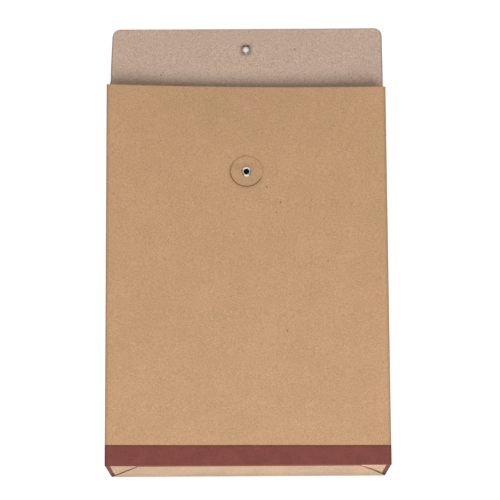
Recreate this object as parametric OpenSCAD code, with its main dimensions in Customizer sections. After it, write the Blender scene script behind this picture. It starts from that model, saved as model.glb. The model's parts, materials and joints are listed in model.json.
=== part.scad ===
// Expanding document envelope of kraft board, lying on its back with the flap open.
// X runs across the envelope, Y from the base to the flap, Z up out of the front panel.

/* [Panels] */
// Width of the front and back panels
panel_w = 240; // [180:1:320]
// Length of the front panel, base fold to mouth
front_len = 321; // [260:1:360]
// Thickness of the outer kraft ply
kraft_t = 0.45; // [0.3:0.05:0.6]
// Thickness of the grey inner ply
lining_t = 0.35; // [0.2:0.05:0.5]

/* [Base and gussets] */
// Depth of the base, fold to fold
base_depth = 30; // [26:1:40]
// Angle from the back panel up to the base, as it lies
base_angle = 52; // [44:1:60]
// Base angle when the envelope stands square
square_angle = 85; // [75:1:85]
// Rise of the front panel above the back panel at the mouth, as it lies
mouth_rise = 9.64; // [9:0.02:14]
// Thickness of the base panel
base_t = 0.5; // [0.3:0.05:0.7]
// Thickness of the corner tabs and of the glue flap inside the base
tab_t = 0.4; // [0.25:0.05:0.5]
// Distance that the corner tabs reach in under the base panel
tab_lap = 8; // [4:1:14]
// Width of the glue flap inside the base
glue_flap_w = 12; // [8:1:14]
// Thickness of the gusset paper
gusset_t = 0.4; // [0.25:0.05:0.45]
// Angle by which the gusset halves lie flatter than the base, as it lies
gusset_lag = 3.5; // [2:0.5:5]
// Angle of the gusset halves when the envelope is pressed flat
gusset_flat = 1.4; // [1:0.1:2]
// Width of the glue hems of the gussets
hem_w = 12; // [8:1:16]
// Thickness of the glue hems
hem_t = 0.3; // [0.2:0.05:0.4]

/* [Flap] */
// Length of the flap from its fold line to the free edge
flap_len = 38.8; // [34:0.2:60]
// Distance of the flap's sides in from the sides of the back panel, at its root
flap_side_in = 0.9; // [0:0.1:10]
// Inward slant of each flap side, in degrees
flap_side_slant = 2.7; // [0:0.1:10]
// Radius of the flap corners
flap_corner_r = 7; // [2:0.5:15]
// Upward tilt of the flap, as it lies on its disc
flap_rise = 2; // [0.5:0.5:4]
// Half width of the soft crease strip at the flap fold
crease_half = 7; // [5:0.5:8]

/* [Discs and eyelets] */
// Diameter of the paper discs
disc_d = 28; // [20:0.5:34]
// Thickness of the paper discs
disc_t = 1; // [0.6:0.1:1.6]
// Gap under a disc for the string
disc_gap = 0.25; // [0.15:0.05:0.6]
// Distance of the front eyelet below the mouth
front_eyelet_drop = 75; // [50:1:110]
// Distance of the flap eyelet from the free edge
flap_eyelet_inset = 17.8; // [14.5:0.1:18]
// Bore of the eyelets
eyelet_bore_d = 5; // [3:0.1:6]
// Wall of the eyelet barrels
eyelet_wall = 0.3; // [0.2:0.05:0.5]
// Diameter of the eyelet flanges
flange_d = 8.5; // [7.5:0.1:10]
// Height of the eyelet flanges
flange_h = 0.45; // [0.3:0.05:0.6]
// Diameter of the crimped end of the eyelets
crimp_d = 7.6; // [7:0.1:9]
// Height of the crimped end
crimp_h = 0.45; // [0.3:0.05:0.6]

/* [Cloth tape] */
// Height of the tape on the front and the sides
tape_h = 16; // [12:0.5:24]
// Thickness of the tape
tape_t = 0.25; // [0.15:0.05:0.3]
// Width of the tape turned under the front edge of the base
front_turn = 1.5; // [1:0.5:6]
// Width of the tape turned under the sides of the base
side_turn = 3.8; // [2:0.2:6]

/* [Clearances] */
// Gap between sheets that fold over each other
fold_gap = 0.15; // [0.1:0.05:0.2]
// Gap at the end of a sheet beside a fold or a moving sheet
end_gap = 0.3; // [0.25:0.05:0.5]
// Radial clearance of a disc on its eyelet
run_gap = 0.05; // [0.02:0.01:0.09]
// End play of a disc under its flange
disc_play = 0.1; // [0.05:0.05:0.2]
// Distance of the flap fold past the mouth of the flat envelope
close_gap = 1.2; // [0.8:0.1:2]
// Height of the flap's eyelet above the table
table_gap = 0.1; // [0.05:0.05:0.3]

/* [Hidden] */
$fn = 96;

// Overshoot of the cuts that go right through, and the step along round corners.
through = 1;
arc_step = 7.5;

kraft_tone = "#c29a72";
lining_tone = "#bea492";
tape_tone = "#844b44";
metal_tone = "#c9c9cc";

// Stack of plies in a panel, and the fold line of the base just above the back panel's stack.
panel_t = kraft_t + lining_t;
back_stack = panel_t + hem_t;
base_fold_z = back_stack + fold_gap;
rear_hinge_z = back_stack + fold_gap;

// The base plies lie outside the fold plane, so that it can fold flat on the back panel.
tab_n = fold_gap;
base_n = tab_n + tab_t;
base_out = base_n + base_t;
roll_r = base_out;
tape_roll_r = base_out + tape_t;

// The front plies lie outside the plane of the front fold. The hems hang below them.
front_in = fold_gap;
front_out = front_in + panel_t;
front_hem_in = front_in - hem_t;
front_hinge_m = front_hem_in - fold_gap;
front_start = tape_roll_r + end_gap;
front_fold_y = base_depth * cos(base_angle);
front_fold_z = base_fold_z + base_depth * sin(base_angle);
front_slope = asin((base_depth * sin(base_angle) - mouth_rise) / front_len);
mouth_y = front_fold_y + front_len * cos(front_slope);
mouth_out_z = front_fold_z - front_len * sin(front_slope) + front_out * cos(front_slope);

// The front panel's slope follows the base angle in this share, flat at zero.
slope_share = front_slope / base_angle;
function mouth_gap(a) = base_depth * sin(a) - front_len * sin(slope_share * a);

// Pressed flat, the mouth closes to the height of the two gusset plies and their gaps.
half_room = gusset_t + end_gap;
hinge_rise = base_fold_z + front_hinge_m - rear_hinge_z;
flat_gap = 2 * half_room - hinge_rise + end_gap;
flat_angle = asin(flat_gap / (base_depth - front_len * slope_share));

// Each gusset half turns with the base at a steady ratio.
gusset_angle = base_angle - gusset_lag;
gusset_ratio = (gusset_angle - gusset_flat) / (base_angle - flat_angle);
function gusset_turn(a) = gusset_angle + gusset_ratio * (a - base_angle);
steps = 24;
sweep = [for (i = [0 : steps]) flat_angle + (square_angle - flat_angle) * i / steps];

// Hinge lines of the gusset halves. The rear ones sit further in, so the halves pass each other.
front_hinge_in = gusset_t + tape_t;
pass_step = gusset_t + tape_t + 2 * end_gap;
rear_hinge_in = front_hinge_in + pass_step;

// Widths of the halves at the base and at the mouth, as wide as the whole fold leaves room for.
function front_half_limit(a, gap, room) =
    ((gap + hinge_rise) / 2 - room) / sin(gusset_turn(a)) + pass_step / (2 * cos(gusset_turn(a)));
front_half_base = min(
    base_depth / 2,
    min([for (a = sweep) front_half_limit(a, base_depth * sin(a), half_room + tape_t)]));
front_half_mouth = min(
    front_half_base,
    min([for (a = sweep) front_half_limit(a, mouth_gap(a), half_room)]));
function rear_half_limit(a, gap) =
    (gap + base_fold_z + front_hem_in - rear_hinge_z - gusset_t - end_gap) / sin(gusset_turn(a));
function rear_half_lap(gap, front_half) =
    (gap + hinge_rise) / sin(gusset_angle) - front_half + 2 * gusset_t;
rear_half_base = min(
    rear_half_lap(base_depth * sin(base_angle), front_half_base),
    min([for (a = sweep) rear_half_limit(a, base_depth * sin(a))]));
rear_half_mouth = min(
    rear_half_lap(mouth_gap(base_angle), front_half_mouth),
    min([for (a = sweep) rear_half_limit(a, mouth_gap(a))]));

// The lower end of the rear halves is mitred, to stay under the base while it folds.
mitre_start = roll_r + end_gap
    + (rear_hinge_z + gusset_t + tape_t + end_gap - base_fold_z - tab_n) / sin(flat_angle);
mitre_spare = 0.06;
mitre_slope = max([for (a = sweep) sin(gusset_turn(a)) / tan(a)]) + mitre_spare;
rear_end = mouth_y - end_gap;
rear_taper = (rear_half_mouth - rear_half_base) / rear_end;
rear_corner_u = (rear_half_base + rear_taper * mitre_start) / (1 - rear_taper * mitre_slope);
rear_tape_u = min((tape_h - mitre_start) / mitre_slope, rear_corner_u);

// Eyelets, from the outer face of their panel outwards.
bore_r = eyelet_bore_d / 2;
barrel_r = bore_r + eyelet_wall;
flange_z = disc_gap + disc_t + disc_play;
eyelet_stand = flange_z + flange_h;
front_eyelet_s = front_len - front_eyelet_drop;

// The flap fold lies past the mouth of the flat envelope, and bends over the mouth in a wide curve.
back_start = roll_r + end_gap;
fold_y = base_depth * cos(flat_angle) + front_len + close_gap;
crease_start = fold_y - crease_half;
flap_root_y = fold_y + crease_half;
flap_plate_len = (flap_len - crease_half) / cos(flap_rise);
flap_eyelet_q = flap_plate_len - flap_eyelet_inset;
flap_root_z = table_gap + max(
    eyelet_stand - (flap_eyelet_q - flange_d / 2) * sin(flap_rise),
    disc_gap + disc_t - (flap_eyelet_q - disc_d / 2) * sin(flap_rise));
flap_root_w = panel_w - 2 * flap_side_in;
flap_edge_w = flap_root_w - 2 * flap_plate_len * tan(flap_side_slant);

// The origin is under the middle of the whole part.
part_low_y = -roll_r;
part_high_y = flap_root_y + flap_plate_len * cos(flap_rise);
middle_y = (part_low_y + part_high_y) / 2;

module on_back() {
    translate([0, -middle_y, 0]) children();
}

module on_base() {
    on_back() translate([0, 0, base_fold_z]) rotate([base_angle, 0, 0]) children();
}

module on_front() {
    on_back() translate([0, front_fold_y, front_fold_z]) rotate([-front_slope, 0, 0]) children();
}

module on_flap() {
    on_back() translate([0, flap_root_y, flap_root_z]) rotate([flap_rise, 0, 0]) children();
}

module on_rear_half() {
    on_back() translate([-panel_w / 2 + rear_hinge_in, 0, rear_hinge_z])
        rotate([0, -gusset_angle, 0]) children();
}

module on_front_half() {
    on_front() translate([-panel_w / 2 + front_hinge_in, 0, front_hinge_m])
        rotate([0, gusset_angle, 0]) children();
}

module sheet(w, from_y, to_y, from_z, t) {
    translate([-w / 2, from_y, from_z]) cube([w, to_y - from_y, t]);
}

module roll(r, y) {
    translate([-panel_w / 2, y, 0]) rotate([0, 90, 0]) cylinder(r = r, h = panel_w);
}

module eyelet_hole(y, from_z) {
    translate([0, y, from_z - through]) cylinder(r = barrel_r, h = panel_t + 2 * through);
}

// Crimped tube with its flange, around Z, with the outer face of the panel at zero.
module eyelet() {
    color(metal_tone) rotate_extrude() polygon([
        [bore_r, -panel_t - crimp_h],
        [crimp_d / 2 - crimp_h / 2, -panel_t - crimp_h],
        [crimp_d / 2, -panel_t - crimp_h / 2],
        [crimp_d / 2, -panel_t],
        [barrel_r, -panel_t],
        [barrel_r, flange_z],
        [flange_d / 2, flange_z],
        [flange_d / 2, flange_z + flange_h / 3],
        [flange_d / 2 - flange_h, flange_z + flange_h],
        [bore_r, flange_z + flange_h]
    ]);
}

module disc() {
    color(kraft_tone) translate([0, 0, disc_gap]) difference() {
        cylinder(d = disc_d, h = disc_t);
        translate([0, 0, -through]) cylinder(r = barrel_r + run_gap, h = disc_t + 2 * through);
    }
}

module back_panel() {
    color(kraft_tone) on_back() sheet(panel_w, back_start, crease_start, 0, kraft_t);
}

module back_lining() {
    color(lining_tone) on_back() sheet(panel_w, back_start, crease_start, kraft_t, lining_t);
}

module left_rear_hem() {
    color(kraft_tone) on_back()
        translate([-panel_w / 2 + rear_hinge_in, mitre_start, panel_t])
            cube([hem_w, rear_end - mitre_start, hem_t]);
}

module right_rear_hem() {
    mirror([1, 0, 0]) left_rear_hem();
}

// Soft strip that ramps up from the table to the flap and bends when the flap closes.
module flap_crease() {
    color(kraft_tone) on_back()
        translate([-flap_root_w / 2, 0, 0])
            rotate([90, 0, 90]) linear_extrude(flap_root_w) polygon([
                [crease_start, 0],
                [flap_root_y - end_gap, flap_root_z],
                [flap_root_y - end_gap, flap_root_z + panel_t],
                [crease_start, panel_t]
            ]);
}

// Outline of the flap from its root: slanted sides and round corners at the free edge.
module flap_outline() {
    corner_y = flap_plate_len - flap_corner_r;
    corner_x = flap_edge_w / 2 - flap_corner_r;
    polygon([
        [-flap_root_w / 2, 0],
        [flap_root_w / 2, 0],
        [flap_edge_w / 2 + flap_corner_r * tan(flap_side_slant), corner_y],
        for (a = [0 : arc_step : 90]) [corner_x + flap_corner_r * cos(a), corner_y + flap_corner_r * sin(a)],
        for (a = [90 : arc_step : 180]) [-corner_x + flap_corner_r * cos(a), corner_y + flap_corner_r * sin(a)],
        [-flap_edge_w / 2 - flap_corner_r * tan(flap_side_slant), corner_y]
    ]);
}

module flap_ply(from_z, t) {
    on_flap() difference() {
        translate([0, 0, from_z]) linear_extrude(t) flap_outline();
        eyelet_hole(flap_eyelet_q, 0);
    }
}

module flap_panel() {
    color(kraft_tone) flap_ply(0, kraft_t);
}

module flap_lining() {
    color(lining_tone) flap_ply(kraft_t, lining_t);
}

module flap_eyelet() {
    on_flap() translate([0, flap_eyelet_q, 0]) mirror([0, 0, 1]) eyelet();
}

module flap_disc() {
    on_flap() translate([0, flap_eyelet_q, 0]) mirror([0, 0, 1]) disc();
}

// Rolled fold of the paper between the back panel and the base, notched for the base panel's edge.
module base_back_fold() {
    color(kraft_tone) on_base() difference() {
        roll(roll_r, 0);
        sheet(panel_w + 2 * through, 0, roll_r + through, base_n, base_t + through);
    }
}

// Trapezoid with 45 degree ends.
module base_panel() {
    front_v = base_depth - tape_roll_r;
    color(kraft_tone) on_base() translate([0, 0, base_n]) linear_extrude(base_t) polygon([
        [-panel_w / 2, 0],
        [panel_w / 2, 0],
        [panel_w / 2 - front_v, front_v],
        [-panel_w / 2 + front_v, front_v]
    ]);
}

module left_corner_tab() {
    front_v = base_depth - tape_roll_r;
    color(kraft_tone) on_base() translate([-panel_w / 2, 0, tab_n]) linear_extrude(tab_t) polygon([
        [0, back_start],
        [back_start + tab_lap, back_start],
        [front_v + tab_lap, front_v],
        [0, front_v]
    ]);
}

module right_corner_tab() {
    mirror([1, 0, 0]) left_corner_tab();
}

// Flap turned in from the front sheet, glued inside the base between the corner tabs.
module base_glue_flap() {
    front_v = base_depth - tape_roll_r;
    inner_w = panel_w - 2 * (base_depth + tab_lap + end_gap);
    color(kraft_tone) on_base() sheet(inner_w, front_v - glue_flap_w, front_v, tab_n, tab_t);
}

// Tape rolled over the front fold and turned under the base. Its ends lie lower, on the corner tabs.
module base_front_tape() {
    turn_v = base_depth - tape_roll_r - front_turn;
    step_x = panel_w / 2 - turn_v;
    color(tape_tone) on_base() {
        sheet(2 * step_x, turn_v, base_depth, base_out, tape_t);
        for (side = [-1, 1])
            translate([side * (panel_w / 2 + step_x + end_gap) / 2, 0, 0])
                sheet(panel_w / 2 - step_x - end_gap, turn_v, base_depth, base_n, tape_t);
        roll(tape_roll_r, base_depth);
    }
}

module base_left_tape() {
    turn_v = base_depth - tape_roll_r - front_turn;
    color(tape_tone) on_base() translate([-panel_w / 2, 0, base_n]) linear_extrude(tape_t) polygon([
        [0, back_start],
        [side_turn, back_start + side_turn],
        [side_turn, turn_v],
        [0, turn_v]
    ]);
}

module base_right_tape() {
    mirror([1, 0, 0]) base_left_tape();
}

module front_panel() {
    color(kraft_tone) on_front() difference() {
        sheet(panel_w, front_start, front_len, front_in + lining_t, kraft_t);
        eyelet_hole(front_eyelet_s, front_in);
    }
}

module front_lining() {
    color(lining_tone) on_front() difference() {
        sheet(panel_w, front_start, front_len, front_in, lining_t);
        eyelet_hole(front_eyelet_s, front_in);
    }
}

module left_front_hem() {
    color(kraft_tone) on_front()
        translate([-panel_w / 2 + front_hinge_in, front_start, front_hem_in])
            cube([hem_w, front_len - end_gap - front_start, hem_t]);
}

module right_front_hem() {
    mirror([1, 0, 0]) left_front_hem();
}

module front_tape() {
    color(tape_tone) on_front() sheet(panel_w, front_start, tape_h, front_out, tape_t);
}

module front_eyelet() {
    on_front() translate([0, front_eyelet_s, front_out]) eyelet();
}

module front_disc() {
    on_front() translate([0, front_eyelet_s, front_out]) disc();
}

// Rear half of the left gusset: its plane leans in from the back panel's edge.
module left_rear_gusset() {
    color(kraft_tone) on_rear_half() linear_extrude(gusset_t) polygon([
        [0, mitre_start],
        [rear_corner_u, mitre_start + mitre_slope * rear_corner_u],
        [rear_half_mouth, rear_end],
        [0, rear_end]
    ]);
}

module left_rear_tape() {
    color(tape_tone) on_rear_half() translate([0, 0, gusset_t]) linear_extrude(tape_t) polygon([
        [0, mitre_start],
        [rear_tape_u, mitre_start + mitre_slope * rear_tape_u],
        [0, mitre_start + mitre_slope * rear_tape_u]
    ]);
}

module right_rear_gusset() {
    mirror([1, 0, 0]) left_rear_gusset();
}

module right_rear_tape() {
    mirror([1, 0, 0]) left_rear_tape();
}

// Front half of the left gusset: its plane leans in from the front panel's edge.
module left_front_gusset() {
    color(kraft_tone) on_front_half() translate([0, 0, -gusset_t]) linear_extrude(gusset_t) polygon([
        [0, front_start],
        [front_half_base, front_start],
        [front_half_mouth, front_len - end_gap],
        [0, front_len - end_gap]
    ]);
}

module left_front_tape() {
    taper = (front_half_mouth - front_half_base) / (front_len - end_gap - front_start);
    color(tape_tone) on_front_half() translate([0, 0, -gusset_t - tape_t]) linear_extrude(tape_t) polygon([
        [0, front_start],
        [front_half_base, front_start],
        [front_half_base + taper * (tape_h - front_start), tape_h],
        [0, tape_h]
    ]);
}

module right_front_gusset() {
    mirror([1, 0, 0]) left_front_gusset();
}

module right_front_tape() {
    mirror([1, 0, 0]) left_front_tape();
}

back_panel();
back_lining();
left_rear_hem();
right_rear_hem();
flap_crease();
flap_panel();
flap_lining();
flap_eyelet();
flap_disc();
base_back_fold();
base_panel();
left_corner_tab();
right_corner_tab();
base_glue_flap();
base_front_tape();
base_left_tape();
base_right_tape();
front_panel();
front_lining();
left_front_hem();
right_front_hem();
front_tape();
front_eyelet();
front_disc();
left_rear_gusset();
left_rear_tape();
left_front_gusset();
left_front_tape();
right_rear_gusset();
right_rear_tape();
right_front_gusset();
right_front_tape();
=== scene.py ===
"""Looks of an expanding kraft envelope: plies, folds, gussets, cloth tape, discs and eyelets.

Everything is in metres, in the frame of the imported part: X across, Y from the base to the
flap, Z up.
"""
import json
import math
from collections import namedtuple

import bmesh
import bpy
from bpy.props import FloatProperty, FloatVectorProperty, IntProperty, PointerProperty
from mathutils import Matrix, Vector, noise
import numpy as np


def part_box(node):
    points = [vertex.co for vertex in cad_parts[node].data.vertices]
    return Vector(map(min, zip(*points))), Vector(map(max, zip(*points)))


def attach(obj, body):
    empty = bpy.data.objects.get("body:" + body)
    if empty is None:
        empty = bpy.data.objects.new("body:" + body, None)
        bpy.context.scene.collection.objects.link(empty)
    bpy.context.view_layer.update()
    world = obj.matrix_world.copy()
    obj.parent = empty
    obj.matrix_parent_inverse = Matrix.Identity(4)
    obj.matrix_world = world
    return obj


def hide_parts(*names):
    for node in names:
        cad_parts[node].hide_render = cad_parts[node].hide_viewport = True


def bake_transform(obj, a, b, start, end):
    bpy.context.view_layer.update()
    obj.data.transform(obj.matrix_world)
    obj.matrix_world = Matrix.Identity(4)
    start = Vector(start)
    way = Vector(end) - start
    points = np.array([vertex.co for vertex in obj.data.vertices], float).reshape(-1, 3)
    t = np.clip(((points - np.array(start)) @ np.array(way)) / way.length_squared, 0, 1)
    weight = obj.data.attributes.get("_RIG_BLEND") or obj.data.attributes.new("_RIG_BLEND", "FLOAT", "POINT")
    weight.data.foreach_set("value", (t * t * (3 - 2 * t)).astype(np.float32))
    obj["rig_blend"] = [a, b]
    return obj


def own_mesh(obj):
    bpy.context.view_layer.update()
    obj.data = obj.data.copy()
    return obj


bl_info = {
    "name": "Expanding Envelope",
    "version": (1, 0, 0),
    "blender": (4, 5, 0),
    "location": "View3D > Sidebar > Envelope",
    "description": "Models the plies, gussets, cloth tape and closure of an expanding envelope",
    "category": "Add Mesh",
}

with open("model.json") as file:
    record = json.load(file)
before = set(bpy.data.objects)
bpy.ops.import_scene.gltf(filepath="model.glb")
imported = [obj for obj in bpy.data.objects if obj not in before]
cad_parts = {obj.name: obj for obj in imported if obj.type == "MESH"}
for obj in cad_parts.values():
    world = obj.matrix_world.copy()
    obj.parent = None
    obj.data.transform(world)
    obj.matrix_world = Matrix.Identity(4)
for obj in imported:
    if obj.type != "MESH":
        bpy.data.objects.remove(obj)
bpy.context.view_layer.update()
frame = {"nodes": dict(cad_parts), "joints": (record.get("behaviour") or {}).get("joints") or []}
NODES = frame["nodes"]
JOINTS = {joint["name"]: joint for joint in frame["joints"]}
MM = 0.001
SIDES = ("left", "right")


# Places taken from the frame

def hinge_at(name):
    """A point on a joint's axis."""
    return Vector(JOINTS[name]["pos_m"])


def hinge_axis(name):
    """The direction of a joint's axis."""
    return Vector(JOINTS[name]["axis"]).normalized()


def plane(origin, along, out):
    """Axes of a sheet as a matrix: X across it, Y along it and Z out of its face."""
    turn = Matrix((along.cross(out), along, out)).transposed()
    return Matrix.Translation(origin) @ turn.to_4x4()


def at(axes, x, y, z):
    """A place given in a sheet's own axes."""
    return axes @ Vector((x, y, z))


def points_of(node, axes=Matrix.Identity(4)):
    """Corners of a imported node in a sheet's own axes."""
    inverse = axes.inverted()
    return [inverse @ vert.co for vert in NODES[node].data.vertices]


def span(node, axes):
    """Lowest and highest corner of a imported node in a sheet's own axes."""
    points = points_of(node, axes)
    return Vector(map(min, zip(*points))), Vector(map(max, zip(*points)))


def lean_of(node, hinge):
    """Angle of a gusset half from level, towards its far corner."""
    corner = max(points_of(node), key=lambda point: point.x)
    return math.atan2(corner.z - hinge.z, corner.x - hinge.x)


BASE_FOLD = hinge_at("base_fold")
FRONT_FOLD = hinge_at("front_fold")
BASE_RUN = (FRONT_FOLD - BASE_FOLD).normalized()
BASE_OUT = Vector((1, 0, 0)).cross(BASE_RUN)
BASE_ANGLE = math.atan2(BASE_OUT.z, BASE_OUT.y)
BASE_DEPTH = (FRONT_FOLD - BASE_FOLD).length
BASE = plane(BASE_FOLD, BASE_RUN, BASE_OUT)
FRONT = plane(FRONT_FOLD, hinge_axis("left_front_fold"), hinge_axis("front_disc_spin"))
FLAP_UP = -hinge_axis("flap_disc_spin")
FLAP = plane(hinge_at("flap_disc_spin"), FLAP_UP.cross(Vector((1, 0, 0))), FLAP_UP)
FRONT_EYELET = FRONT.inverted() @ hinge_at("front_disc_spin")

BACK_LOW, BACK_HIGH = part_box("back_panel")
CREASE_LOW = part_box("flap_crease")[0]
FLAP_LOW, FLAP_HIGH = span("flap_panel", FLAP)
FLAP_ROOT = at(FLAP, 0, FLAP_LOW.y, 0)
FRONT_LOW, FRONT_HIGH = span("front_panel", FRONT)
FRONT_TAPE_HIGH = span("front_tape", FRONT)[1]
BOARD_HIGH = span("base_panel", BASE)[1]
TAB_LOW, TAB_HIGH = span("left_corner_tab", BASE)
SIDE_TAPE_LOW, SIDE_TAPE_HIGH = span("base_left_tape", BASE)
HALF_W = BACK_HIGH.x
KRAFT_T = BACK_HIGH.z
LINING_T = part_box("back_lining")[1].z - BACK_HIGH.z
BOARD_T = BOARD_HIGH.z - TAB_HIGH.z
TAPE_T = FRONT_TAPE_HIGH.z - FRONT_HIGH.z
REAR_HINGE = hinge_at("left_rear_fold")
FRONT_HINGE = FRONT.inverted() @ hinge_at("left_front_fold")
GUSSET_LEAN = lean_of("left_rear_gusset", REAR_HINGE)
REAR_HALF = Matrix.Translation(REAR_HINGE) @ Matrix.Rotation(-GUSSET_LEAN, 4, "Y")
FRONT_HALF = FRONT @ Matrix.Translation(FRONT_HINGE) @ Matrix.Rotation(GUSSET_LEAN, 4, "Y")

# The flap is drawn a little wider than its solid, and the tape's top edge a little lower
FLAP_HALF = FLAP_HIGH.x + 0.4 * MM
TAPE_TOP = FRONT_TAPE_HIGH.y - 0.3 * MM


def srgb(red, green, blue):
    """A colour as read off a screen, from 0 to 255, in linear light."""
    shares = (value / 255 for value in (red, green, blue))
    return tuple(s / 12.92 if s <= 0.04045 else ((s + 0.055) / 1.055) ** 2.4 for s in shares)


# Settings

def a_length(name, description, default, low, high):
    """A small length that a user may change, with its numbers in millimetres."""
    return FloatProperty(
        name=name, description=description, default=default * MM, min=low * MM, max=high * MM,
        unit="LENGTH", precision=4)


def a_colour(name, description, default):
    """A colour that a user may change."""
    return FloatVectorProperty(
        name=name, description=description, subtype="COLOR", min=0, max=1, default=default)


class EnvelopeSizes(bpy.types.PropertyGroup):
    """Small sizes that give the sheets their paper-like form."""

    mouth_sag: a_length("Mouth sag", "Drop of the mouth's middle below its ends", 3.4, 0, 8)
    mouth_hollow: a_length("Mouth hollow", "Inward curve of the mouth's cut edge", 0.25, 0, 3)
    mouth_skew: a_length("Mouth skew", "Rise of the mouth's cut edge at its left end", 1.7, -3, 3)
    edge_drop: a_length("Edge drop", "Drop of the front's side edges", 0.5, 0, 1)
    edge_band: a_length("Edge band", "Width of the side edges that turn down", 4.6, 1, 9)
    flap_slant: FloatProperty(
        name="Flap slant", description="Inward slant of the flap's sides",
        default=math.radians(2.7), min=0, max=math.radians(10), unit="ROTATION")
    flap_corner: a_length("Flap corner", "Radius of the flap's corners", 7, 2, 15)
    flap_lean: a_length("Flap lean", "Shift of the flap's free edge to the right", 0.6, -2, 2)
    flap_trim: a_length("Flap trim", "Extra cut along the flap's left side", 1.3, 0, 3)
    flap_curl: a_length("Flap curl", "Lift of the flap's corners", 0.6, 0, 3)
    slit_lift: a_length("Slit lift", "Lift of the base board's ends off the tabs", 0.6, 0, 1.5)
    end_bow: a_length("End bow", "Bow of the base board's right end", 3, 0, 5)
    tape_slant: a_length("Tape slant", "Rise of the tape's upper edge at its left end", 0.6, -2, 2)
    tape_inset: a_length("Tape inset", "Narrowing of the front under the tape", 0.2, 0, 1)
    tape_stray: a_length("Tape stray", "Wander of the tape's edges", 0.3, 0, 1)
    disc_lift: a_length("Disc lift", "Curl of a disc's lower edge off the panel", 0.8, 0, 2)
    petals: IntProperty(
        name="Petals", description="Number of petals in an eyelet's crimped end",
        default=5, min=4, max=10)


class EnvelopeColours(bpy.types.PropertyGroup):
    """Colours of the papers, the cloth and the metal."""

    kraft: a_colour("Kraft", "Outer ply of the panels", srgb(189, 153, 113))
    base: a_colour("Base board", "Paler paper of the base", srgb(177, 149, 122))
    lining: a_colour("Grey ply", "Inner ply of the panels", srgb(190, 165, 148))
    # The raw-edge tone also paints shade on disc rims, the front's side edges, eyelet holes and the base's
    # fold and slit
    raw_edge_and_shade: a_colour("Raw edge", "Cut edges of the board", srgb(104, 70, 46))
    tape: a_colour("Cloth tape", "Woven tape round the base", srgb(122, 63, 56))
    nickel: a_colour("Nickel", "Plate of the eyelets", (0.68, 0.66, 0.64))


class EnvelopeStage(bpy.types.PropertyGroup):
    """Camera and light above the table."""

    camera_height: FloatProperty(
        name="Camera height", description="Height of the camera above the table",
        default=0.508, min=0.2, max=3, unit="LENGTH")
    camera_foot: FloatVectorProperty(
        name="Camera foot", description="Point of the table under the camera", size=2,
        default=(2.6 * MM, 2.7 * MM), unit="LENGTH", precision=4)
    camera_roll: FloatProperty(
        name="Camera roll", description="Turn of the camera about its line of sight",
        default=math.radians(-0.33), unit="ROTATION")
    lens: FloatProperty(
        name="Lens", description="Focal length on a 36 mm sensor, in millimetres",
        default=41.55, min=10, max=200)
    key_power: FloatProperty(
        name="Key power", description="Power of the soft light above the base end",
        default=37, min=0, max=100, unit="POWER")
    sky: FloatProperty(
        name="Sky", description="Strength of the even light all round", default=0.5, min=0, max=2)


# Shader expressions

class Value:
    """A socket of a finish, with arithmetic that adds Math nodes."""

    def __init__(self, finish, socket):
        self.finish = finish
        self.socket = socket

    def _math(self, operation, first, second):
        return self.finish.node("Math", {0: first, 1: second}, operation=operation)

    def __add__(self, other):
        return self._math("ADD", self, other)

    def __sub__(self, other):
        return self._math("SUBTRACT", self, other)

    def __rsub__(self, other):
        return self._math("SUBTRACT", other, self)

    def __mul__(self, other):
        return self._math("MULTIPLY", self, other)

    def __gt__(self, other):
        return self._math("GREATER_THAN", self, other)

    __radd__ = __add__
    __rmul__ = __mul__


class Finish:
    """The nodes of one material, or of the world."""

    def __init__(self, owner):
        owner.use_nodes = True
        self.owner = owner
        self.tree = owner.node_tree
        self.tree.nodes.clear()

    def node(self, kind, inputs=None, out=0, **settings):
        """Adds a node with its settings and inputs, and returns an output."""
        made = self.tree.nodes.new("ShaderNode" + kind)
        for key, value in settings.items():
            setattr(made, key, value)
        for key, value in (inputs or {}).items():
            if isinstance(value, Value):
                self.tree.links.new(value.socket, made.inputs[key])
            else:
                made.inputs[key].default_value = value
        return Value(self, made.outputs[out])

    def mix(self, share, first, second):
        """A colour between two."""
        return self.node("Mix", {0: share, 6: first, 7: second}, 2, data_type="RGBA")

    def dim(self, colour, amount):
        """A colour times a number."""
        return self.node("VectorMath", {0: colour, "Scale": amount}, operation="SCALE")

    def place(self, scale=(1, 1, 1)):
        """Object coordinates, stretched."""
        where = self.node("TexCoord", out="Object")
        return self.node("Mapping", {"Vector": where, "Scale": scale})

    def unrolled(self, scale):
        """Coordinates on a piece's own sheet, in metres times a scale."""
        where = self.node("UVMap", uv_map="unrolled")
        return self.node("Mapping", {"Vector": where, "Scale": scale})

    def noise(self, where, scale, detail=3.0, roughness=0.6):
        """Noise about zero."""
        inputs = {"Vector": where, "Scale": scale, "Detail": detail, "Roughness": roughness}
        return self.node("TexNoise", inputs) - 0.5

    def attribute(self, name):
        """A number that the mesh holds at its points."""
        return self.node("Attribute", out="Fac", attribute_name=name)

    def bump(self, strength, distance, height):
        """A normal tilted by a height."""
        inputs = {"Strength": strength, "Distance": distance, "Height": height}
        return self.node("Bump", inputs)

    def seen(self):
        """One for what is seen straight, mirrored or through glass, or else zero."""
        camera, glossy, glass = (
            self.node("LightPath", out=f"Is {kind} Ray")
            for kind in ("Camera", "Glossy", "Transmission"))
        return camera + glossy + glass

    def surface(self, shader, output="OutputMaterial"):
        """Makes a shader the surface, and returns its material or world."""
        end = self.tree.nodes.new("ShaderNode" + output)
        self.tree.links.new(shader.socket, end.inputs["Surface"])
        return self.owner


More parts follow.
